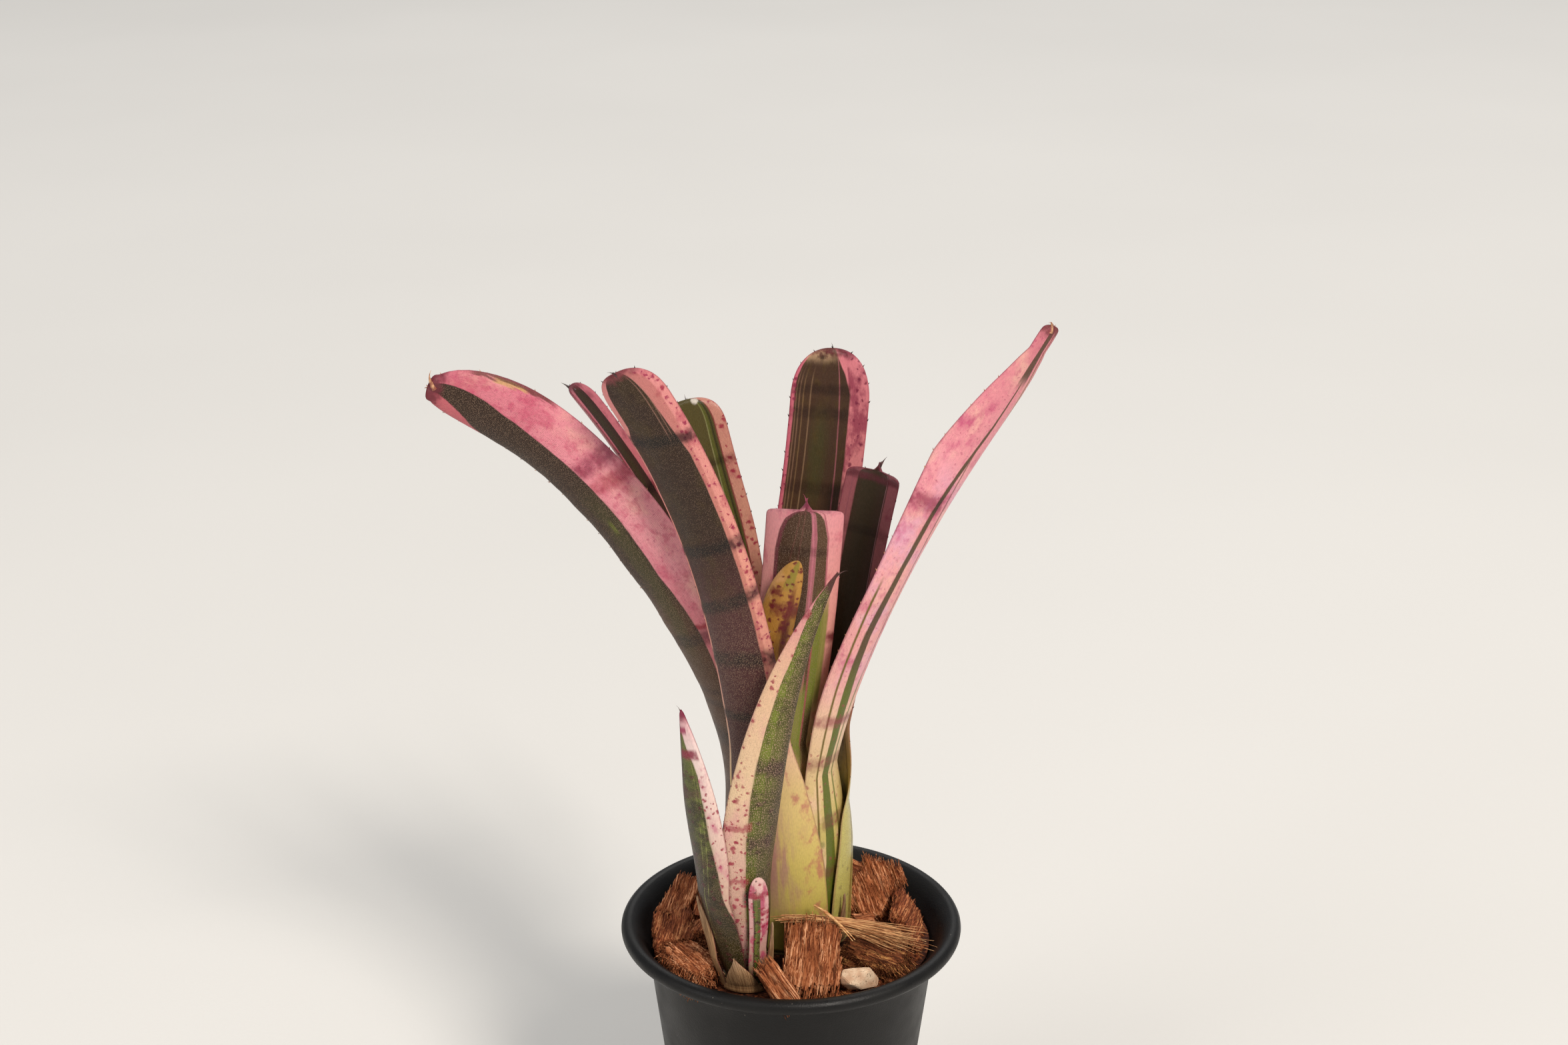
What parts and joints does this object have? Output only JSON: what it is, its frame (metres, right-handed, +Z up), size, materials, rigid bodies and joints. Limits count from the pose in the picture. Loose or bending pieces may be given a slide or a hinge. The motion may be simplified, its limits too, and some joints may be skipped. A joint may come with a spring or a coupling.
{
  "type": "potted bromeliad",
  "caption": "Young tubular neoregelia bromeliad with banded pink and olive leaves and a pup, in a round black nursery pot with husk chips.",
  "frame": {"origin": "centre of the pot's flat underside", "axes": "+Z up along the pot's axis, -Y towards the front, the side with the pup"},
  "size_m": [0.1709, 0.0998, 0.2736],
  "materials": {
    "pot": "matte black, fine grain",
    "potting_mix": "fine damp husk",
    "mother_stem": "dull living stem",
    "pup_stem": "dull living stem",
    "leaf_front_banded": "satin living leaf with fine scales",
    "leaf_right_back": "satin living leaf with fine scales",
    "leaf_left_long": "satin living leaf with fine scales",
    "leaf_right_long": "satin living leaf with fine scales",
    "leaf_left_narrow": "satin living leaf with fine scales",
    "leaf_yellow_small": "satin living leaf with fine scales",
    "leaf_back_tall": "satin living leaf with fine scales",
    "leaf_front_blunt": "satin living leaf with fine scales",
    "leaf_back_left": "satin living leaf with fine scales",
    "pup_leaf_small": "satin living leaf with fine scales",
    "pup_leaf_left": "satin living leaf with fine scales",
    "pup_leaf_tall": "satin living leaf with fine scales",
    "pup_bract_left": "dry papery leaf",
    "pup_bract_front": "dry papery leaf",
    "pup_bract_right": "dry papery leaf",
    "mother_bract": "dry papery leaf",
    "husk_front_centre": "rough fibrous husk",
    "husk_front_left": "rough fibrous husk",
    "husk_right_back": "rough fibrous husk",
    "husk_right_wall": "rough fibrous husk",
    "husk_right_small": "rough fibrous husk",
    "husk_right_front": "rough fibrous husk",
    "husk_left_back": "rough fibrous husk",
    "husk_left": "rough fibrous husk",
    "husk_left_inner": "rough fibrous husk",
    "husk_left_middle": "rough fibrous husk",
    "husk_left_front": "rough fibrous husk",
    "husk_back_left": "rough fibrous husk",
    "husk_back": "rough fibrous husk",
    "husk_back_right": "rough fibrous husk",
    "stone": "pale rough stone",
    "fibre_bundle": "loose dry fibre",
    "fibre_straw": "loose dry fibre"
  },
  "bodies": {
    "root": {"pot": "pot", "potting_mix": "potting_mix", "mother_stem": "mother_stem", "pup_stem": "pup_stem", "leaf_front_banded": "leaf_front_banded", "leaf_right_back": "leaf_right_back", "leaf_left_long": "leaf_left_long", "leaf_right_long": "leaf_right_long", "leaf_left_narrow": "leaf_left_narrow", "leaf_yellow_small": "leaf_yellow_small", "leaf_back_tall": "leaf_back_tall", "leaf_front_blunt": "leaf_front_blunt", "leaf_back_left": "leaf_back_left", "pup_leaf_small": "pup_leaf_small", "pup_leaf_left": "pup_leaf_left", "pup_leaf_tall": "pup_leaf_tall", "pup_bract_left": "pup_bract_left", "pup_bract_front": "pup_bract_front", "pup_bract_right": "pup_bract_right", "mother_bract": "mother_bract", "husk_front_centre": "husk_front_centre", "husk_front_left": "husk_front_left", "husk_right_back": "husk_right_back", "husk_right_wall": "husk_right_wall", "husk_right_small": "husk_right_small", "husk_right_front": "husk_right_front", "husk_left_back": "husk_left_back", "husk_left": "husk_left", "husk_left_inner": "husk_left_inner", "husk_left_middle": "husk_left_middle", "husk_left_front": "husk_left_front", "husk_back_left": "husk_back_left", "husk_back": "husk_back", "husk_back_right": "husk_back_right", "stone": "stone", "fibre_bundle": "fibre_bundle", "fibre_straw": "fibre_straw"}
  },
  "joints": []
}
